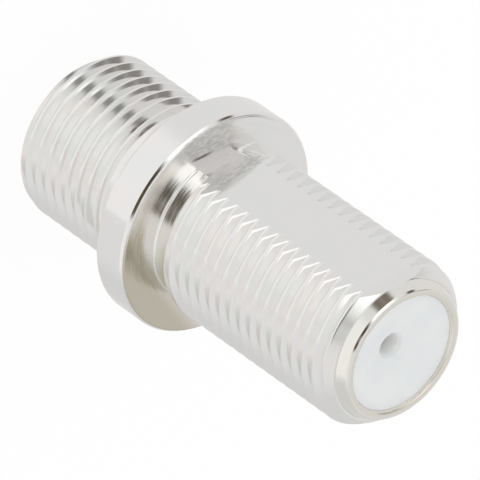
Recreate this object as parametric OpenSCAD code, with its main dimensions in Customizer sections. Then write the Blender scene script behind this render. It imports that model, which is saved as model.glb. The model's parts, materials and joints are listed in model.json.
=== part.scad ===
// Coaxial panel adapter: a flanged, turned shell with a threaded socket at each end,
// two moulded insulators and one double-ended spring contact between them.
// The shell stands on its rear end at z = 0, its axis is +Z and its flat faces -Y.
// Each thread is a plain cylinder over its crests.

/* [Thread] */
// Outside diameter of both threads (3/8 inch, 32 turns to the inch)
thread_d = 9.4; // [9.1:0.05:10]

/* [Lengths] */
// From the rear end to the flange
rear_l = 8.33; // [7.6:0.01:12]
// Thickness of the flange
flange_t = 2.03; // [1.4:0.01:3]
// Relief neck between the flange and the front thread
neck_l = 0.84; // [0.6:0.02:2]
// From the flange to the tip of the rolled lip
front_l = 14.54; // [11:0.02:20]
// From the tip of the rolled lip back to the first full thread crest
nose_l = 1.46; // [1.2:0.02:2]

/* [Shell] */
// Diameter of the flange
flange_d = 12.6; // [11.4:0.1:16]
// Bevel on both edges of the flange
flange_bevel = 0.15; // [0.05:0.01:0.4]
// Fillet where the rear shank meets the flange
shank_fillet = 0.25; // [0.1:0.01:0.5]
// Diameter of the relief neck
neck_d = 8.3; // [8:0.05:8.5]
// Distance from the axis to the flat on the front thread
flat_h = 3.95; // [3.7:0.01:4.1]
// Diameter of the rear end inside its chamfer
rear_end_d = 8.9; // [8.7:0.05:9]
// Length of the chamfer on the rear end
rear_chamfer_l = 0.4; // [0.2:0.05:0.8]

/* [Lip] */
// Outside diameter where the nose chamfer ends
nose_d = 8.18; // [8.05:0.01:8.3]
// Outside diameter of the rolled lip
lip_d = 7.96; // [7.7:0.01:8]
// Length of the rolled lip
lip_l = 0.62; // [0.45:0.01:0.8]
// Width of the rounded lip, from its outside to its opening
lip_w = 0.72; // [0.6:0.01:0.75]

/* [Insulators] */
// Diameter of the bore that holds the insulators
bore_d = 6.72; // [6.6:0.01:6.9]
// Depth of each insulator's face below the end of the shell
face_recess = 0.2; // [0.12:0.01:0.4]
// Length of the bevel that each lip holds the insulator by
seat_l = 0.3; // [0.2:0.01:0.6]
// Diameter of the hole for the cable's centre wire
socket_d = 1.26; // [0.9:0.01:1.6]
// Depth of the dished face, from its edge to the hole
dish_depth = 0.95; // [0.4:0.01:1.5]
// Thickness of the web that the hole passes through
web_t = 1.3; // [0.8:0.05:2.5]
// Play between an insulator and the shell
insulator_gap = 0.02; // [0.01:0.005:0.04]

/* [Contact] */
// Outside diameter of the contact tube
contact_d = 1.9; // [1.7:0.05:2.4]
// Wall of the contact tube
contact_wall = 0.22; // [0.15:0.01:0.3]
// Opening between the closed tines at their narrowest
grip_d = 0.5; // [0.3:0.02:0.7]
// Length over which the tines close in
grip_l = 3; // [2:0.1:4]
// Length of the flared mouth of the tines
mouth_l = 0.6; // [0.3:0.05:0.9]
// Width of the slots between the tines
slot_w = 0.26; // [0.15:0.01:0.35]
// Length of the slots from each end
slot_l = 6; // [4:0.1:7]
// Diameter of the collar that seats the contact
collar_d = 3; // [2.8:0.1:4]
// Thickness of the collar
collar_t = 0.8; // [0.4:0.05:1.5]
// Room for the tines to open inside the insulators
tine_gap = 0.25; // [0.1:0.01:0.4]
// Space between the tips of the tines and the web
tip_gap = 0.2; // [0.1:0.01:0.5]
// Play around the collar
collar_gap = 0.02; // [0.01:0.005:0.05]

/* [Hidden] */
$fn = 96;

thread_r = thread_d / 2;
neck_r = neck_d / 2;
bore_r = bore_d / 2;
flange_r = flange_d / 2;
lip_r = lip_d / 2;

flange_z = rear_l;
front_z = rear_l + flange_t;
neck_z = front_z + neck_l;
total_l = front_z + front_l;
nose_z = total_l - nose_l;
lip_z = total_l - lip_l;

// opening inside each lip and the edge of each insulator's face
lip_in_r = lip_r - lip_w;
front_face_z = total_l - face_recess;
rear_face_z = face_recess;
mid_z = (front_face_z + rear_face_z) / 2;
insulator_l = front_face_z - mid_z;

cavity_r = contact_d / 2 + tine_gap;
cavity_l = insulator_l - dish_depth - web_t;
contact_half_l = cavity_l - tip_gap;
contact_r = contact_d / 2;
grip_r = grip_d / 2;

function arc(r, z, radius, from, to, steps) =
    [for (i = [0 : steps]) let (a = from + (to - from) * i / steps)
        [r + radius * cos(a), z + radius * sin(a)]];

function ellipse_arc(r, z, rx, rz, from, to, steps) =
    [for (i = [0 : steps]) let (a = from + (to - from) * i / steps)
        [r + rx * cos(a), z + rz * sin(a)]];

module shell_profile() {
    rear = [
        [lip_in_r, 0],
        [rear_end_d / 2, 0],
        [thread_r, rear_chamfer_l]
    ];
    fillet = arc(thread_r + shank_fillet, flange_z - shank_fillet, shank_fillet, 180, 90, 5);
    flange = [
        [flange_r - flange_bevel, flange_z],
        [flange_r, flange_z + flange_bevel],
        [flange_r, front_z - flange_bevel],
        [flange_r - flange_bevel, front_z]
    ];
    front = [
        [neck_r, front_z],
        [neck_r, neck_z],
        [thread_r, neck_z + thread_r - neck_r],
        [thread_r, nose_z],
        [nose_d / 2, lip_z]
    ];
    lip_mid_r = lip_r - lip_w / 2;
    lip = concat(
        ellipse_arc(lip_mid_r, lip_z, lip_w / 2, lip_l, 0, 90, 6),
        ellipse_arc(lip_mid_r, front_face_z, lip_w / 2, face_recess, 105, 180, 4)
    );
    inside = [
        [bore_r, front_face_z - seat_l],
        [bore_r, rear_face_z + seat_l],
        [lip_in_r, rear_face_z]
    ];
    polygon(concat(rear, fillet, flange, front, lip, inside));
}

module body() {
    color("silver")
    difference() {
        rotate_extrude() shell_profile();
        // flat along the whole front thread
        translate([-thread_d, -flange_d - flat_h, front_z])
            cube([2 * thread_d, flange_d, front_l + 1]);
    }
}

// right half of an insulator's section, with its dished face up and its inner end at z = 0
module insulator_profile() {
    outer_r = bore_r - insulator_gap;
    face_r = lip_in_r - insulator_gap;
    recess_r = collar_d / 2 + collar_gap;
    recess_l = collar_t / 2 + collar_gap;
    dish_z = insulator_l - dish_depth;
    polygon([
        [recess_r, 0],
        [outer_r, 0],
        [outer_r, insulator_l - seat_l],
        [face_r, insulator_l],
        [socket_d / 2, dish_z],
        [socket_d / 2, dish_z - web_t],
        [cavity_r, cavity_l],
        [cavity_r, recess_l],
        [recess_r, recess_l]
    ]);
}

module insulator() {
    rotate_extrude() insulator_profile();
}

module front_insulator() {
    color("white")
        translate([0, 0, mid_z]) insulator();
}

module rear_insulator() {
    color("whitesmoke")
        translate([0, 0, mid_z]) mirror([0, 0, 1]) insulator();
}

// right half of one end of the contact, from the middle of the collar to the mouth
module contact_profile() {
    tine_z = contact_half_l - mouth_l - grip_l;
    grip_z = contact_half_l - mouth_l;
    mouth_r = contact_r - contact_wall;
    polygon([
        [contact_r - contact_wall, 0],
        [collar_d / 2, 0],
        [collar_d / 2, collar_t / 2],
        [contact_r, collar_t / 2],
        [contact_r, tine_z],
        [grip_r + contact_wall, grip_z],
        [mouth_r, contact_half_l],
        [mouth_r - contact_wall, contact_half_l],
        [grip_r, grip_z],
        [contact_r - contact_wall, tine_z]
    ]);
}

// one end of the contact, slotted crosswise into four tines
module contact_end() {
    difference() {
        rotate_extrude() contact_profile();
        for (turn = [0, 90])
            rotate([0, 0, turn + 45])
                translate([-contact_d, -slot_w / 2, contact_half_l - slot_l])
                    cube([2 * contact_d, slot_w, slot_l + 1]);
    }
}

module centre_contact() {
    color("goldenrod")
    translate([0, 0, mid_z]) {
        contact_end();
        mirror([0, 0, 1]) contact_end();
    }
}

body();
front_insulator();
rear_insulator();
centre_contact();
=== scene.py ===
# Looks of a nickel-plated coaxial panel adapter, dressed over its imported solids.
import json
import math

import bpy
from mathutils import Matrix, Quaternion, Vector


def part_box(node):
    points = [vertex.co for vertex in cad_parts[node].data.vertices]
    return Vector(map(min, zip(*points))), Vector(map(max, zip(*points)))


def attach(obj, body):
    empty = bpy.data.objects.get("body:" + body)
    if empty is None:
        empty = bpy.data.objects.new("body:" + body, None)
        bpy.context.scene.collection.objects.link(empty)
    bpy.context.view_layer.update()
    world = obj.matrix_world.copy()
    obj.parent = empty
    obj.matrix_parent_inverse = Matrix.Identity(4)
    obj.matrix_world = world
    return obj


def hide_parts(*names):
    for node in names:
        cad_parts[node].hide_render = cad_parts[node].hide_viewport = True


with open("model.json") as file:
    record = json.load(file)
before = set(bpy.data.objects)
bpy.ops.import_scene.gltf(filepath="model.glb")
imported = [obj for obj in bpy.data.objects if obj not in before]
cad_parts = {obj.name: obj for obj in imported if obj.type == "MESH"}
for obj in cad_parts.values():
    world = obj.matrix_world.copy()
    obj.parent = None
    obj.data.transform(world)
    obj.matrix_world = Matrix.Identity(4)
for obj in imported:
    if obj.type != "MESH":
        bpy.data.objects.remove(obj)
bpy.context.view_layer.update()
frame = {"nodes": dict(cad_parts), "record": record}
mounts = {mount["name"]: mount for mount in frame["record"]["mounts"]}
millimetre = 0.001  # pieces are modelled in millimetres and shrunk to metres when finished
print("frame loaded:", ", ".join(sorted(frame["nodes"])))


def inMillimetres(length):
    return length / millimetre


# what the solids fix: length, flange and thread of the shell, and the front insulator's ends
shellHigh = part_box("body")[1]
insulatorLow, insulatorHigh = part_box("front_insulator")
totalLength = inMillimetres(shellHigh.z)
flangeRadius = inMillimetres(shellHigh.x)
threadRadius = mounts["front_thread"]["dims"]["r_mm"]
panelHeight = inMillimetres(mounts["panel_face"]["pos_m"][2])
socketRadius = mounts["front_socket"]["dims"]["r_mm"]
faceHeight = inMillimetres(insulatorHigh.z)
middleHeight = inMillimetres(insulatorLow.z)
insulatorRadius = inMillimetres(insulatorHigh.x)


# modelling helpers

def clearSelection():
    if bpy.context.mode != "OBJECT":
        bpy.ops.object.mode_set(mode="OBJECT")
    bpy.ops.object.select_all(action="DESELECT")


def pick(piece):
    clearSelection()
    piece.select_set(True)
    bpy.context.view_layer.objects.active = piece


def editAll(piece):
    pick(piece)
    bpy.ops.object.mode_set(mode="EDIT")
    bpy.ops.mesh.select_mode(type="VERT")
    bpy.ops.mesh.select_all(action="SELECT")


def editFaces(piece, wanted):
    editAll(piece)
    bpy.ops.mesh.select_mode(type="FACE")
    bpy.ops.mesh.select_all(action="DESELECT")
    bpy.ops.object.mode_set(mode="OBJECT")
    for face in piece.data.polygons:
        face.select = wanted(face)
    bpy.ops.object.mode_set(mode="EDIT")


def softCorners(corners, steps=5):
    # corners are (radius, height, rounding); a rounding becomes a short arc
    path = []
    for i, (radius, height, rounding) in enumerate(corners):
        corner = Vector((radius, height))
        if rounding == 0:
            path.append(corner)
            continue
        back = (Vector(corners[i - 1][:2]) - corner).normalized()
        onward = (Vector(corners[i + 1][:2]) - corner).normalized()
        half = back.angle(onward) / 2
        centre = corner + (back + onward).normalized() * rounding / math.sin(half)
        start = corner + back * rounding / math.tan(half) - centre
        end = corner + onward * rounding / math.tan(half) - centre
        path += [centre + start.slerp(end, k / steps) * rounding for k in range(steps + 1)]
    return path


def drawLine(name, path):
    # a plane is merged to one vertex, which is then pulled along the section
    clearSelection()
    bpy.ops.mesh.primitive_plane_add(size=1)
    piece = bpy.context.active_object
    piece.name = piece.data.name = name
    editAll(piece)
    bpy.ops.mesh.merge(type="CENTER")
    bpy.ops.transform.translate(value=(path[0][0], 0, path[0][1]))
    for here, there in zip(path, path[1:]):
        step = (there[0] - here[0], 0, there[1] - here[1])
        bpy.ops.mesh.extrude_region_move(TRANSFORM_OT_translate={"value": step})
    bpy.ops.object.mode_set(mode="OBJECT")
    return piece


def weld(piece, distance=0.0005):
    editAll(piece)
    bpy.ops.mesh.remove_doubles(threshold=distance)
    bpy.ops.mesh.normals_make_consistent(inside=False)
    bpy.ops.object.mode_set(mode="OBJECT")


def turn(name, corners, segments=160):
    # a closed section is spun once round the axis, as on a lathe
    path = softCorners(corners)
    piece = drawLine(name, path + path[:1])
    editAll(piece)
    bpy.ops.mesh.spin(steps=segments, angle=2 * math.pi, center=(0, 0, 0), axis=(0, 0, 1))
    weld(piece)
    return piece


def combine(piece, tool, operation):
    pick(piece)
    cut = piece.modifiers.new(operation.lower(), "BOOLEAN")
    cut.operation = operation
    cut.solver = "MANIFOLD"
    cut.object = tool
    bpy.ops.object.modifier_apply(modifier=cut.name)
    bpy.data.objects.remove(tool, do_unlink=True)


def sliceOff(piece, point, direction):
    # cuts off what lies beyond the plane and closes the cut
    editAll(piece)
    bpy.ops.mesh.bisect(plane_co=point, plane_no=direction, use_fill=True,
                        clear_outer=True, threshold=0.00005)
    bpy.ops.object.mode_set(mode="OBJECT")


def finishPiece(piece, node, material, smoothAngle):
    pick(piece)
    bpy.ops.object.shade_smooth_by_angle(angle=math.radians(smoothAngle))
    even = piece.modifiers.new("evenNormals", "WEIGHTED_NORMAL")
    even.keep_sharp = True
    even.thresh = 0.001  # faces of a few hundredths of a square millimetre still count by their size
    bpy.ops.object.modifier_apply(modifier=even.name)
    piece.scale = (millimetre, millimetre, millimetre)
    bpy.ops.object.transform_apply(location=False, rotation=False, scale=True)
    piece.data.materials.clear()
    piece.data.materials.append(material)
    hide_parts(node)
    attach(piece, "root")
    print("piece done:", piece.name, len(piece.data.polygons), "faces")


# materials

def newMaterial(name):
    material = bpy.data.materials.new(name)
    material.use_nodes = True
    return material, material.node_tree.nodes["Principled BSDF"]


def addNode(tree, kind, **settings):
    made = tree.nodes.new("ShaderNode" + kind)
    for name, value in settings.items():
        setattr(made, name, value)
    return made


def join(tree, source, target):
    tree.links.new(source, target)


def feed(tree, value, socket):
    # a number or a colour is set on the socket, and an output is joined to it
    if isinstance(value, (int, float)):
        socket.default_value = value
    elif isinstance(value, tuple):
        socket.default_value = (*value, 1)
    else:
        join(tree, value, socket)


def newGroup(name, inputs, outputs):
    group = bpy.data.node_groups.new(name, "ShaderNodeTree")
    for socket, kind in inputs.items():
        group.interface.new_socket(socket, in_out="INPUT", socket_type="NodeSocket" + kind)
    for socket, kind in outputs.items():
        group.interface.new_socket(socket, in_out="OUTPUT", socket_type="NodeSocket" + kind)
    return group, group.nodes.new("NodeGroupInput").outputs, group.nodes.new("NodeGroupOutput").inputs


def calculate(tree, operation, *values):
    # one Math node; each value is a socket or a number
    made = addNode(tree, "Math", operation=operation)
    for socket, value in zip(made.inputs, values):
        feed(tree, value, socket)
    return made.outputs[0]


def fade(tree, value, start, end):
    # rises smoothly from 0 to 1 between two values, in either direction
    made = addNode(tree, "MapRange", interpolation_type="SMOOTHSTEP")
    for socket, number in (("Value", value), ("From Min", start), ("From Max", end)):
        feed(tree, number, made.inputs[socket])
    return made.outputs["Result"]


def overlap(tree, *masks):
    shared = masks[0]
    for mask in masks[1:]:
        shared = calculate(tree, "MULTIPLY", shared, mask)
    return shared


def between(tree, value, begins, full, fading, ends):
    # 1 from full to fading, and 0 before it begins and after it ends
    return overlap(tree, fade(tree, value, begins, full), fade(tree, value, ends, fading))


def distanceTo(tree, value, target):
    return calculate(tree, "ABSOLUTE", calculate(tree, "SUBTRACT", value, target))


def mixColour(tree, share, first, second, blend="MIX"):
    made = addNode(tree, "Mix", data_type="RGBA", blend_type=blend)
    for socket, value in ((made.inputs[0], share), (made.inputs[6], first), (made.inputs[7], second)):
        feed(tree, value, socket)
    return made.outputs[2]


def mixShaders(tree, share, first, second):
    made = addNode(tree, "MixShader")
    for socket, value in zip(made.inputs, (share, first, second)):
        feed(tree, value, socket)
    return made.outputs[0]


def noise(tree, vector, scale, detail=2, depth=None):
    made = addNode(tree, "TexNoise", noise_dimensions="4D" if depth else "3D")
    join(tree, vector, made.inputs["Vector"])
    if depth:
        join(tree, depth, made.inputs["W"])
    made.inputs["Scale"].default_value = scale
    made.inputs["Detail"].default_value = detail
    return made.outputs["Fac"]


def addBump(tree, height, distance, shader):
    bump = addNode(tree, "Bump")
    join(tree, height, bump.inputs["Height"])
    bump.inputs["Distance"].default_value = distance
    join(tree, bump.outputs[0], shader.inputs["Normal"])


def objectPlace(tree):
    # place on the object in millimetres
    place = addNode(tree, "VectorMath", operation="SCALE")
    join(tree, addNode(tree, "TexCoord").outputs["Object"], place.inputs[0])
    place.inputs["Scale"].default_value = 1 / millimetre
    return place.outputs[0]


def split(tree, place):
    apart = addNode(tree, "SeparateXYZ")
    join(tree, place, apart.inputs[0])
    return apart.outputs


def along(tree, vector, direction):
    dot = addNode(tree, "VectorMath", operation="DOT_PRODUCT")
    join(tree, vector, dot.inputs[0])
    dot.inputs[1].default_value = direction
    return dot.outputs["Value"]


def fromAxis(tree, place):
    flat = addNode(tree, "VectorMath", operation="MULTIPLY")
    join(tree, place, flat.inputs[0])
    flat.inputs[1].default_value = (1, 1, 0)
    length = addNode(tree, "VectorMath", operation="LENGTH")
    join(tree, flat.outputs[0], length.inputs[0])
    return length.outputs["Value"]


turnedLook = {
    "linesPerTurn": 2.0,
    "linesAcross": 8,
    "lineDetail": 3,
    "mottleScale": 0.5,
    "smallestRadius": 0.01,
}


def turnedGroup():
    # lathe lines that run round the axis, and broad cloudy patches
    group, given, result = newGroup("turnedFinish", {"Place": "Vector", "Across": "Float"},
                                    {"Lines": "Float", "Mottle": "Float"})
    x, y, z = split(group, given["Place"])
    radius = fromAxis(group, given["Place"])
    safe = calculate(group, "MAXIMUM", radius, turnedLook["smallestRadius"])
    wrapped = addNode(group, "CombineXYZ")
    join(group, calculate(group, "DIVIDE", x, safe), wrapped.inputs[0])
    join(group, calculate(group, "DIVIDE", y, safe), wrapped.inputs[1])
    join(group, calculate(group, "MULTIPLY", z, given["Across"]), wrapped.inputs[2])
    across = calculate(group, "MULTIPLY", radius, given["Across"])
    lines = noise(group, wrapped.outputs[0], turnedLook["linesPerTurn"], turnedLook["lineDetail"], across)
    join(group, lines, result["Lines"])
    join(group, noise(group, given["Place"], turnedLook["mottleScale"]), result["Mottle"])
    return group


turned = turnedGroup()


def addTurned(tree, place, across):
    made = addNode(tree, "Group", node_tree=turned)
    join(tree, place, made.inputs["Place"])
    made.inputs["Across"].default_value = across
    return made.outputs


# marks that cutting the flat left, and a painted highlight beside it; a span begins, is full, starts to
# fade and ends
cutterMarksAndGlint = {
    "flatPlane": -3.95,
    "scratchScale": (2.8, 8, 9),
    "scratchDetail": 5,
    "scratchRange": (0.35, 0.6),
    "scratchDepth": 1.6,
    "scuff": (0.78, 0.79, 0.79),
    "scuffFront": (-3.85, -4.1),
    "scuffEdge": (-1.3, -0.5),
    "scuffSlant": 0.6,
    "scuffBorder": (1.6, 1.1),
    "scuffRoughness": 0.16,
    "dullFace": (-4.35, -4.65),
    "footWidth": (0.06, 0.02),
    "footLean": -0.15,
    "footHeight": (11.2, 11.7, 12.05, 12.25),
    "footSpan": (-2.6, -1.9, 1.2, 2.0),
    "gouge": (0.3, 0.29, 0.27),
    "gougePlane": -4.62,
    "gougeWidth": (0.13, 0.03),
    "gougeSpan": (0.1, 0.9, 1.3, 1.85),
    # painted highlight along the edge of the flat on the flange's face
    "glintWhite": (0.97, 0.97, 0.96),
    "glintPlane": -3.98,
    "glintWidth": (0.26, 0.14),
    "glintTaper": -0.06,
    "glintSpan": (-2.8, -2.5, -1.5, -1.3),
    "glintRoughness": 0.4,
}


def markAndGlintMasks(tree, place, face):
    x, y, z = split(tree, place)
    cut = cutterMarksAndGlint["flatPlane"]
    stretch = addNode(tree, "Mapping")
    stretch.inputs["Scale"].default_value = cutterMarksAndGlint["scratchScale"]
    join(tree, place, stretch.inputs["Vector"])
    scratch = noise(tree, stretch.outputs[0], 1, cutterMarksAndGlint["scratchDetail"])

    # scuffs on the flange's face
    ahead = calculate(tree, "SUBTRACT", y, cut)
    slant = calculate(tree, "MULTIPLY_ADD", ahead, cutterMarksAndGlint["scuffSlant"], x)
    scuff = overlap(tree, face,
                    fade(tree, y, *cutterMarksAndGlint["scuffFront"]),
                    fade(tree, x, *cutterMarksAndGlint["scuffEdge"]),
                    fade(tree, slant, *cutterMarksAndGlint["scuffBorder"]))
    dull = overlap(tree, scuff, fade(tree, y, *cutterMarksAndGlint["dullFace"]))

    # scratches at the foot of the flat
    leaning = calculate(tree, "MULTIPLY_ADD", x, cutterMarksAndGlint["footLean"], z)
    foot = overlap(tree, fade(tree, distanceTo(tree, y, cut), *cutterMarksAndGlint["footWidth"]),
                   between(tree, leaning, *cutterMarksAndGlint["footHeight"]),
                   between(tree, x, *cutterMarksAndGlint["footSpan"]))
    scuff = calculate(tree, "MAXIMUM", scuff, foot)
    patchy = overlap(tree, calculate(tree, "MAXIMUM", dull, foot),
                     fade(tree, scratch, *cutterMarksAndGlint["scratchRange"]))

    # one deeper mark
    away = distanceTo(tree, y, cutterMarksAndGlint["gougePlane"])
    gouge = overlap(tree, face, fade(tree, away, *cutterMarksAndGlint["gougeWidth"]),
                    between(tree, x, *cutterMarksAndGlint["gougeSpan"]))

    # painted highlight: a matte white line beside the flat, narrower away from it
    away = distanceTo(tree, y, cutterMarksAndGlint["glintPlane"])
    away = calculate(tree, "MULTIPLY_ADD", x, cutterMarksAndGlint["glintTaper"], away)
    glint = overlap(tree, face, fade(tree, away, *cutterMarksAndGlint["glintWidth"]),
                    between(tree, x, *cutterMarksAndGlint["glintSpan"]))
    return scratch, scuff, patchy, gouge, glint


# zones are heights and innerZone is a distance from the axis;
# the painted recess shade fades in along x and the painted shadow along its own side direction
nickelLook = {
    "warm": (0.90, 0.875, 0.86),
    "cool": (0.875, 0.88, 0.86),
    "mottleRange": (0.35, 0.65),
    "faceZone": (10.28, 10.32, 10.4, 10.44),
    "recessZone": (10.28, 10.32, 11.5, 11.9),
    # painted warm shade over the low side of the recess, fading in along x
    "recessShadeTint": (1.0, 0.995, 0.98),
    "recessShadeEdge": (1.9, 2.8),
    # painted shadow colour for the low side of the recess, with its side direction and range
    "paintedShade": (0.60, 0.56, 0.46),
    "paintedShadeSide": (0.85, 0.53, 0),
    "paintedShadeRange": (3.4, 5.0),
    "noseZone": (23.4, 23.6, 24.25, 24.35),
    "lipZone": (24.25, 24.4),
    "lipTint": (0.97, 0.965, 0.925),
    "innerZone": (3.62, 3.5),
    "innerTint": (0.96, 0.94, 0.91),
    "roughness": 0.08,
    "lineRoughness": 0.06,
    "faceRoughness": 0.06,
    "noseRoughness": 0.12,
    "lineDepth": 0.1,
    "groovesAcross": 3.0,
    "grooveDepth": 10,
    "bumpDistance": 0.0000012,
}


def makeNickel():
    material, shader = newMaterial("nickelPlate")
    tree = material.node_tree
    place = objectPlace(tree)
    apart = split(tree, place)
    x, z = apart["X"], apart["Z"]
    finish = addTurned(tree, place, turnedLook["linesAcross"])

    # the flange's front face, the recess between flange and thread, the nose and the lip
    face = between(tree, z, *nickelLook["faceZone"])
    recess = between(tree, z, *nickelLook["recessZone"])
    nose = between(tree, z, *nickelLook["noseZone"])
    lip = fade(tree, z, *nickelLook["lipZone"])
    inner = overlap(tree, lip, fade(tree, fromAxis(tree, place), *nickelLook["innerZone"]))
    scratch, scuff, patchy, gouge, glint = markAndGlintMasks(tree, place, face)

    # painted shadow: darker and warmer round the side of the recess that lies low
    # painted warm shade over the recess on its low side
    recessShade = overlap(tree, recess, fade(tree, x, *nickelLook["recessShadeEdge"]))
    low = along(tree, place, nickelLook["paintedShadeSide"])
    paintedShade = overlap(tree, recess, fade(tree, low, *nickelLook["paintedShadeRange"]))

    mottle = fade(tree, finish["Mottle"], *nickelLook["mottleRange"])
    plate = mixColour(tree, mottle, nickelLook["warm"], nickelLook["cool"])
    # the recess gets painted shade and the line beside the flat a painted highlight, among the real marks
    # and tints
    for mask, colour, blend in (
        (recessShade, nickelLook["recessShadeTint"], "MULTIPLY"),
        (paintedShade, nickelLook["paintedShade"], "MIX"),
        (patchy, cutterMarksAndGlint["scuff"], "MULTIPLY"),
        (gouge, cutterMarksAndGlint["gouge"], "MULTIPLY"),
        (glint, cutterMarksAndGlint["glintWhite"], "MIX"),
        (lip, nickelLook["lipTint"], "MULTIPLY"),
        (inner, nickelLook["innerTint"], "MULTIPLY"),
    ):
        plate = mixColour(tree, mask, plate, colour, blend)
    join(tree, plate, shader.inputs["Base Color"])
    # the painted highlight line is matte white, not metal
    join(tree, calculate(tree, "SUBTRACT", 1, glint), shader.inputs["Metallic"])

    rough = nickelLook["roughness"]
    for mask, added in (
        (finish["Lines"], nickelLook["lineRoughness"]),
        (face, nickelLook["faceRoughness"]),
        (scuff, cutterMarksAndGlint["scuffRoughness"]),
        (glint, cutterMarksAndGlint["glintRoughness"]),
        (nose, nickelLook["noseRoughness"]),
    ):
        rough = calculate(tree, "MULTIPLY_ADD", mask, added, rough)
    join(tree, rough, shader.inputs["Roughness"])

    # fine lathe lines all over, deeper grooves in the recess, and the scratches
    grooves = addTurned(tree, place, nickelLook["groovesAcross"])["Lines"]
    height = overlap(tree, grooves, recess, nickelLook["grooveDepth"])
    height = calculate(tree, "MULTIPLY_ADD", finish["Lines"], nickelLook["lineDepth"], height)
    scratched = overlap(tree, scratch, scuff)
    height = calculate(tree, "MULTIPLY_ADD", scratched, cutterMarksAndGlint["scratchDepth"], height)
    addBump(tree, height, nickelLook["bumpDistance"], shader)
    return material


plasticLook = {
    "bright": (0.80, 0.815, 0.815),
    "dull": (0.77, 0.79, 0.795),
    "cloudScale": 0.7,
    "cloudDetail": 3,
    "cloudRange": (0.35, 0.65),
    # painted light: whiter colour for the shaded hole and the edge under the lip
    "paintedLight": (0.99, 0.99, 0.985),
    "paintedLightDepth": (11.45, 11.2),
    "paintedLightEdge": (3.08, 3.45),
    "roughness": 0.37,
    "grainScale": 9,
    "grainRoughness": 0.1,
    "bumpDistance": 0.000002,
    "glow": 0.3,
    "glowDepth": 0.0004,
}


def makePlastic():
    material, shader = newMaterial("whitePlastic")
    tree = material.node_tree
    place = objectPlace(tree)
    cloud = noise(tree, place, plasticLook["cloudScale"], plasticLook["cloudDetail"])
    cloud = fade(tree, cloud, *plasticLook["cloudRange"])
    aged = mixColour(tree, cloud, plasticLook["bright"], plasticLook["dull"])
    # painted light: the hole and the edge under the lip are made whiter where they lie in shade
    fromMiddle = distanceTo(tree, split(tree, place)["Z"], middleHeight)
    paintedLight = calculate(tree, "MAXIMUM", fade(tree, fromMiddle, *plasticLook["paintedLightDepth"]),
                      fade(tree, fromAxis(tree, place), *plasticLook["paintedLightEdge"]))
    join(tree, mixColour(tree, paintedLight, aged, plasticLook["paintedLight"]), shader.inputs["Base Color"])
    grain = noise(tree, place, plasticLook["grainScale"])
    rough = calculate(tree, "MULTIPLY_ADD", grain, plasticLook["grainRoughness"], plasticLook["roughness"])
    join(tree, rough, shader.inputs["Roughness"])
    addBump(tree, grain, plasticLook["bumpDistance"], shader)
    shader.inputs["Subsurface Weight"].default_value = plasticLook["glow"]
    shader.inputs["Subsurface Radius"].default_value = (1, 1, 1)
    shader.inputs["Subsurface Scale"].default_value = plasticLook["glowDepth"]
    return material


brassLook = {
    "bright": (0.82, 0.64, 0.37),
    "dull": (0.74, 0.56, 0.31),
    "roughness": 0.18,
    "lineRoughness": 0.16,
    "bumpDistance": 0.000002,
}


def makeBrass():
    material, shader = newMaterial("contactBrass")
    tree = material.node_tree
    finish = addTurned(tree, objectPlace(tree), turnedLook["linesAcross"])
    colour = mixColour(tree, finish["Mottle"], brassLook["bright"], brassLook["dull"])
    join(tree, colour, shader.inputs["Base Color"])
    rough = calculate(tree, "MULTIPLY_ADD", finish["Lines"], brassLook["lineRoughness"],
                      brassLook["roughness"])
    join(tree, rough, shader.inputs["Roughness"])
    addBump(tree, finish["Lines"], brassLook["bumpDistance"], shader)
    shader.inputs["Metallic"].default_value = 1
    return material


nickel = makeNickel()
plastic = makePlastic()
brass = makeBrass()
print("materials ready")


# shell: two threaded rods are turned to shape, joined by the flange and bored through
thread = {
    "pitch": 0.794,
    "depth": 0.44,
    "crestWidth": 0.13,
    "crestRounding": 0.03,
    "rootRounding": 0.06,
    "flankAngle": 30,
    "roundingSteps": 3,
    "stepsPerTurn": 128,
    "spareTurns": 2,  # made at each end and sliced off
}


def threadRod(name, low, high, crestHeight):
    pitch = thread["pitch"]
    flank = thread["depth"] * math.tan(math.radians(thread["flankAngle"]))
    crest = thread["crestWidth"] / 2
    root = threadRadius - thread["depth"]
    corners = [
        (root, -pitch / 2, 0),
        (root, -crest - flank, thread["rootRounding"]),
        (threadRadius, -crest, thread["crestRounding"]),
        (threadRadius, crest, thread["crestRounding"]),
        (root, crest + flank, thread["rootRounding"]),
        (root, pitch / 2, 0),
    ]
    spare = thread["spareTurns"]
    below = math.ceil((crestHeight - low) / pitch) + spare
    section = softCorners(corners, thread["roundingSteps"])
    rod = drawLine(name, [(p.x, p.y + crestHeight - below * pitch) for p in section])
    pick(rod)
    screw = rod.modifiers.new("helix", "SCREW")
    screw.axis = "Z"
    screw.angle = 2 * math.pi
    screw.screw_offset = pitch
    screw.iterations = math.ceil((high - low) / pitch) + 2 * spare
    screw.steps = screw.render_steps = thread["stepsPerTurn"]
    bpy.ops.object.modifier_apply(modifier=screw.name)
    weld(rod)
    sliceOff(rod, (0, 0, low), (0, 0, -1))
    sliceOff(rod, (0, 0, high), (0, 0, 1))
    weld(rod)
    return rod


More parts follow.
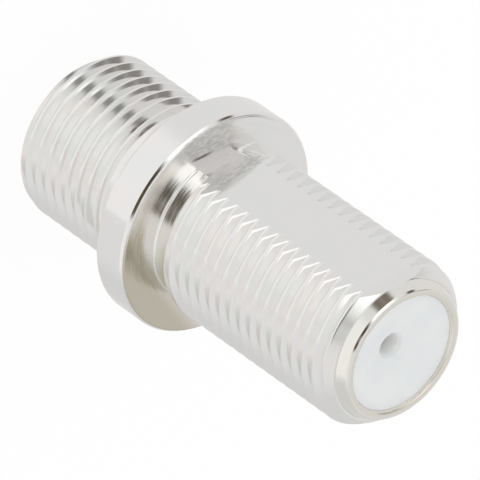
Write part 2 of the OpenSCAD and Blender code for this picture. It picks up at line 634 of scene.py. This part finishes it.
shell = {
    "flangeBack": 8.33,
    "edgeWidth": 0.14,
    "edgeHeight": 0.185,
    "edgeRounding": 0.03,
    "innerRounding": 0.2,
    "backEdge": 0.06,
    "filletRadius": 0.25,
    "neckRadius": 4.15,
    "neckFillet": 0.14,
    "neckEnd": 11.2,
    "flatDistance": 3.95,
    "rearEndRadius": 4.45,
    "rearChamferEnd": 0.4,
    "noseStart": 23.44,
    "noseEnd": 24.28,
    "noseRadius": 4.09,
    "noseBulge": 0.09,
    "noseRounding": 0.5,
    "lipRadius": 3.98,
    "lipRim": [(3.765, 24.78, 0.12), (3.668, 24.9, 0.06), (3.32, 24.9, 0.1)],
    "mouthRadius": 3.26,
    "boreRadius": 3.36,
    "seatLength": 0.3,
    "runOutStart": 5.21,
    "runOutEnd": 7.17,
    "rearCrest": 0.735,
    "frontCrest": 0.299,
    "runOutOver": 0.004,  # the run-out ends just over the crests
    "rodTop": 0.8,  # the rear rod and the front barrel end inside the flange
    "rodCap": 0.05,
    "barrelFoot": 0.7,
    "reliefSink": 0.004,  # the fillet starts just under the flange's face
    "reliefReach": 0.8,
    "reliefRounding": 0.05,
    "chamferCut": (-0.2, 0.8),
    "noseOver": 0.2,
    "lipRounding": 0.1,
    "lipSink": 0.1,
    "collarLength": 0.6,  # the flange's blank takes in some of the shank
    "collarTaper": 0.05,
    "boreSegments": 128,
    "boreOver": 1,  # the bore's tool sticks out at both ends
    "weldDistance": 0.0002,
    "smoothAngle": 25,
    "inside": 3.0,  # tools and blanks reach this far in
    "clear": 7.5,  # and this far out
}


def slope(r1, z1, r2, z2, height):
    # radius at a height, on the straight line through two points
    return r1 + (r2 - r1) * (height - z1) / (z2 - z1)


def rearRod():
    top = panelHeight - shell["rodTop"]
    shank = threadRadius + shell["runOutOver"]
    rod = threadRod("rearRod", 0, top, shell["rearCrest"])
    # a cone fills the groove from its root, so that it runs out towards the smooth shank
    runOut = turn("runOut", [
        (shell["inside"], shell["runOutStart"], 0),
        (threadRadius - thread["depth"], shell["runOutStart"], 0),
        (shank, shell["runOutEnd"], 0),
        (shank, top - shell["rodCap"], 0),
        (shell["inside"], top - shell["rodCap"], 0),
    ])
    combine(rod, runOut, "UNION")
    cone = (shell["rearEndRadius"], 0, threadRadius, shell["rearChamferEnd"])
    low, high = shell["chamferCut"]
    chamfer = turn("rearChamfer", [
        (slope(*cone, low), low, 0),
        (shell["clear"], low, 0),
        (shell["clear"], high, 0),
        (slope(*cone, high), high, 0),
    ])
    combine(rod, chamfer, "DIFFERENCE")
    return rod


def frontBarrel():
    foot = panelHeight - shell["barrelFoot"]
    barrel = threadRod("turnedShell", foot, shell["noseEnd"], shell["frontCrest"])
    neck, neckEnd = shell["neckRadius"], shell["neckEnd"]
    reach = shell["reliefReach"]
    under = panelHeight - shell["reliefSink"]
    relief = turn("neckRelief", [
        (neck, under, shell["neckFillet"]),
        (neck, neckEnd, shell["reliefRounding"]),
        (neck + reach, neckEnd + reach, 0),
        (shell["clear"], neckEnd + reach, 0),
        (shell["clear"], under, 0),
    ])
    combine(barrel, relief, "DIFFERENCE")
    low, high, over = shell["noseStart"], shell["noseEnd"], shell["noseOver"]
    middle = ((threadRadius + shell["noseRadius"]) / 2 + shell["noseBulge"], (low + high) / 2)
    nose = turn("noseChamfer", [
        (slope(threadRadius, low, *middle, low - over), low - over, 0),
        (*middle, shell["noseRounding"]),
        (slope(*middle, shell["noseRadius"], high, high + over), high + over, 0),
        (shell["clear"], high + over, 0),
        (shell["clear"], low - over, 0),
    ])
    combine(barrel, nose, "DIFFERENCE")
    lip = turn("rolledLip", [
        (shell["inside"], low, 0),
        (shell["lipRadius"], low, 0),
        (shell["lipRadius"], high, shell["lipRounding"]),
        *shell["lipRim"],
        (shell["mouthRadius"], faceHeight, 0),
        (shell["inside"], faceHeight - shell["lipSink"], 0),
    ])
    combine(barrel, lip, "UNION")
    sliceOff(barrel, (0, -shell["flatDistance"], 0), (0, -1, 0))
    return barrel


def boreTool():
    # one long cylinder, drawn in at both ends where the lips hold the insulators
    seat = shell["seatLength"]
    boreLow = totalLength - faceHeight + seat
    boreHigh = faceHeight - seat
    mouth = shell["mouthRadius"] / shell["boreRadius"]
    clearSelection()
    bpy.ops.mesh.primitive_cylinder_add(vertices=shell["boreSegments"], radius=shell["boreRadius"],
                                        depth=boreHigh - boreLow, end_fill_type="NGON",
                                        location=(0, 0, (boreLow + boreHigh) / 2))
    tool = bpy.context.active_object
    bpy.ops.object.transform_apply(location=True, rotation=False, scale=False)
    for upward in (1, -1):
        editFaces(tool, lambda face: face.normal.z * upward > 0.9)
        bpy.ops.mesh.extrude_region_move(TRANSFORM_OT_translate={"value": (0, 0, upward * seat)})
        bpy.ops.transform.resize(value=(mouth, mouth, 1))
        past = (0, 0, upward * shell["boreOver"])
        bpy.ops.mesh.extrude_region_move(TRANSFORM_OT_translate={"value": past})
        bpy.ops.object.mode_set(mode="OBJECT")
    return tool


def makeShell():
    body = frontBarrel()
    back, fillet = shell["flangeBack"], shell["filletRadius"]
    wide, tall, edge = shell["edgeWidth"], shell["edgeHeight"], shell["edgeRounding"]
    collar = back - shell["collarLength"]
    flange = turn("flange", [
        (shell["inside"], collar, 0),
        (threadRadius - shell["collarTaper"], collar, 0),
        (threadRadius, back, fillet),
        (flangeRadius - shell["backEdge"], back, edge),
        (flangeRadius, back + shell["backEdge"], edge),
        (flangeRadius, panelHeight - tall, edge),
        (flangeRadius - wide, panelHeight, shell["innerRounding"]),
        (shell["inside"], panelHeight, 0),
    ])
    combine(body, flange, "UNION")
    combine(body, rearRod(), "UNION")
    combine(body, boreTool(), "DIFFERENCE")
    weld(body, shell["weldDistance"])
    finishPiece(body, "body", nickel, shell["smoothAngle"])


makeShell()


# insulators: one moulded plug, turned end for end for the rear
insulator = {
    "seatLength": 0.3,
    "faceRadius": 3.255,
    "dishDepth": 0.8,
    "webThickness": 1.45,
    "exitRadius": 0.5,
    "exitLength": 0.25,
    "cavityRadius": 1.2,
    "recessRadius": 1.52,
    "recessLength": 0.42,
    "edgeRounding": 0.01,
    "holeRounding": 0.3,
    "exitRounding": 0.1,
    "segments": 96,
    "smoothAngle": 30,
}


def makeInsulator(name, node, facing):
    length = faceHeight - middleHeight
    dish = length - insulator["dishDepth"]
    web = dish - insulator["webThickness"]
    corners = [
        (insulator["recessRadius"], 0, 0),
        (insulatorRadius, 0, 0),
        (insulatorRadius, length - insulator["seatLength"], 0),
        (insulator["faceRadius"], length, insulator["edgeRounding"]),
        (socketRadius, dish, insulator["holeRounding"]),
        (socketRadius, web + insulator["exitLength"], insulator["exitRounding"]),
        (insulator["exitRadius"], web, 0),
        (insulator["cavityRadius"], web, 0),
        (insulator["cavityRadius"], insulator["recessLength"], 0),
        (insulator["recessRadius"], insulator["recessLength"], 0),
    ]
    placed = [(radius, middleHeight + facing * height, soft) for radius, height, soft in corners]
    plug = turn(name, placed, insulator["segments"])
    finishPiece(plug, node, plastic, insulator["smoothAngle"])


makeInsulator("frontInsulator", "front_insulator", 1)
makeInsulator("rearInsulator", "rear_insulator", -1)

# the contact keeps its solid and gets its finish
contact = frame["nodes"]["centre_contact"]
contact.data.materials.clear()
contact.data.materials.append(brass)


# studio: a white tent with a few dark gaps, a pale floor and the camera of the photograph
cameraView = {
    "aimHeight": 12.228,
    "azimuth": 42.2,
    "elevation": 37.78,
    "distance": 458.69,
    "roll": 125.07,
    "lens": 675,
    "clip": (0.01, 10),
}


def cameraTurn():
    azimuth = math.radians(cameraView["azimuth"])
    elevation = math.radians(cameraView["elevation"])
    ahead = Vector((-math.sin(azimuth) * math.cos(elevation),
                    math.cos(azimuth) * math.cos(elevation),
                    -math.sin(elevation)))
    return ahead.to_track_quat("-Z", "Y") @ Quaternion((0, 0, 1), math.radians(cameraView["roll"]))


def cameraAxes():
    # right, up and towards the camera
    return [cameraTurn() @ Vector(axis) for axis in ((1, 0, 0), (0, 1, 0), (0, 0, 1))]


# each panel: side and rise of its centre in degrees, half its width and height, softness, brightness
# side is measured to the right of the upright plane through the camera, rise from the camera over the top
# and a later panel covers the earlier ones
tentPanels = {
    "leftWall": (-60, 55, 38, 90, 8, 0.92),
    "leftSoftbox": (-42, -12, 24, 66, 8, 0.96),
    "leftFill": (-48, 36, 15, 15, 6, 1.02),
    "underside": (0, -145, 80, 50, 15, 0.78),
    "lowShade": (-5, -128, 40, 42, 12, 0.7),
    "lowFill": (33, -31, 14, 12, 8, 0.835),
    "rightUnder": (68, -104, 9, 10, 3, 0.2),
    "rightLow": (48, -15, 12, 12, 6, 1.15),
    "rightFill": (26, -4, 17, 10, 4, 1.02),
    "rightSoftbox": (25, 18, 16, 13, 4, 1.28),
    "rightUpper": (29, 42, 7, 12, 4, 1.2),
    "upperSlit": (-4, 66, 7, 16, 4, 0.3),
    "middleSlit": (4, 43, 8, 8, 3, 0.2),
    "farSlit": (13, 54, 8, 7, 3, 0.2),
    "lowerSlit": (-12, -16, 8, 13, 4, 0.1),
    "centreSlit": (-1, 1, 8, 14, 4, 0.07),
    "edgeSlit": (49, 68, 6, 9, 3, 0.12),
    "flatMirror": (54, 41, 7, 8, 3, 0.69),
    "rightEnd": (82, 58, 16, 60, 6, 0.25),
    "rightStreak": (79, 27, 4, 4, 3, 0.4),
    "rightMiddle": (82, 126, 16, 9, 5, 0.45),
    "rightBack": (78, 158, 16, 22, 6, 0.74),
}
tentLevels = {"wall": 0.8, "fill": 1.0, "gapTint": (1.0, 0.7, 0.4), "gapRange": (0.08, 0.31)}


def panelGroup():
    inputs = ("Side", "Rise", "Centre side", "Centre rise", "Half width", "Half height", "Softness")
    group, given, result = newGroup("tentPanel", dict.fromkeys(inputs, "Float"), {"Mask": "Float"})
    shares = []
    for value, centre, half in (("Side", "Centre side", "Half width"),
                                ("Rise", "Centre rise", "Half height")):
        away = distanceTo(group, given[value], given[centre])
        outer = calculate(group, "ADD", given[half], given["Softness"])
        inner = calculate(group, "SUBTRACT", given[half], given["Softness"])
        shares.append(fade(group, away, outer, inner))
    join(group, calculate(group, "MULTIPLY", *shares), result["Mask"])
    return group


def seenDirectly(tree, path):
    # what the camera sees plainly or through something clear
    return calculate(tree, "MAXIMUM", path.outputs["Is Camera Ray"], path.outputs["Is Transmission Ray"])


def makeTent():
    world = bpy.data.worlds.new("whiteTent")
    bpy.context.scene.world = world
    world.use_nodes = True
    tree = world.node_tree
    tree.nodes.clear()
    ray = addNode(tree, "TexCoord").outputs["Generated"]
    right, up, towards = [along(tree, ray, axis) for axis in cameraAxes()]
    side = calculate(tree, "DEGREES", calculate(tree, "ARCSINE", right))
    rise = calculate(tree, "DEGREES", calculate(tree, "ARCTAN2", up, towards))
    group = panelGroup()
    level = tentLevels["wall"]
    for name, (across, above, width, tall, soft, brightness) in tentPanels.items():
        panel = addNode(tree, "Group", node_tree=group, label=name)
        join(tree, side, panel.inputs["Side"])
        join(tree, rise, panel.inputs["Rise"])
        for socket, value in (("Centre side", across), ("Centre rise", above), ("Half width", width),
                              ("Half height", tall), ("Softness", soft)):
            panel.inputs[socket].default_value = value
        blend = addNode(tree, "Mix", data_type="FLOAT")
        join(tree, panel.outputs["Mask"], blend.inputs["Factor"])
        feed(tree, level, blend.inputs[2])
        blend.inputs[3].default_value = brightness
        level = blend.outputs[0]
    path = addNode(tree, "LightPath")
    mirrored = addNode(tree, "Background")
    join(tree, level, mirrored.inputs["Strength"])
    lit = fade(tree, level, *tentLevels["gapRange"])
    join(tree, mixColour(tree, lit, tentLevels["gapTint"], (1, 1, 1)), mirrored.inputs["Color"])
    seen = addNode(tree, "Background")
    fill = addNode(tree, "Background")
    fill.inputs["Strength"].default_value = tentLevels["fill"]
    for background in (seen, fill):
        background.inputs["Color"].default_value = (1, 1, 1, 1)
    glossy = mixShaders(tree, path.outputs["Is Glossy Ray"], fill.outputs[0], mirrored.outputs[0])
    shown = mixShaders(tree, seenDirectly(tree, path), glossy, seen.outputs[0])
    join(tree, shown, addNode(tree, "OutputWorld").inputs["Surface"])


makeTent()

floorLook = {"size": 4, "colour": (0.95, 0.95, 0.95, 1), "shadow": 0.07}


def makeFloor():
    clearSelection()
    bpy.ops.mesh.primitive_plane_add(size=floorLook["size"])
    floor = bpy.context.active_object
    floor.name = "floor"
    floor.visible_glossy = False  # the shell mirrors the tent all round
    white, shader = newMaterial("floorWhite")
    tree = white.node_tree
    shader.inputs["Base Color"].default_value = floorLook["colour"]
    shader.inputs["Roughness"].default_value = 1
    shader.inputs["Specular IOR Level"].default_value = 0
    glow = addNode(tree, "Emission")
    path = addNode(tree, "LightPath")
    share = calculate(tree, "MULTIPLY", seenDirectly(tree, path), 1 - floorLook["shadow"])
    shown = mixShaders(tree, share, shader.outputs[0], glow.outputs[0])
    join(tree, shown, tree.nodes["Material Output"].inputs["Surface"])
    floor.data.materials.append(white)


makeFloor()


def placeCamera():
    aim = Vector((0, 0, cameraView["aimHeight"]))
    towards = cameraAxes()[2]
    clearSelection()
    bpy.ops.object.camera_add(location=(aim + towards * cameraView["distance"]) * millimetre)
    camera = bpy.context.active_object
    camera.rotation_mode = "QUATERNION"
    camera.rotation_quaternion = cameraTurn()
    camera.data.lens = cameraView["lens"]
    camera.data.clip_start, camera.data.clip_end = cameraView["clip"]
    bpy.context.scene.camera = camera


placeCamera()
bpy.context.scene.view_settings.view_transform = "Standard"
print("studio ready")
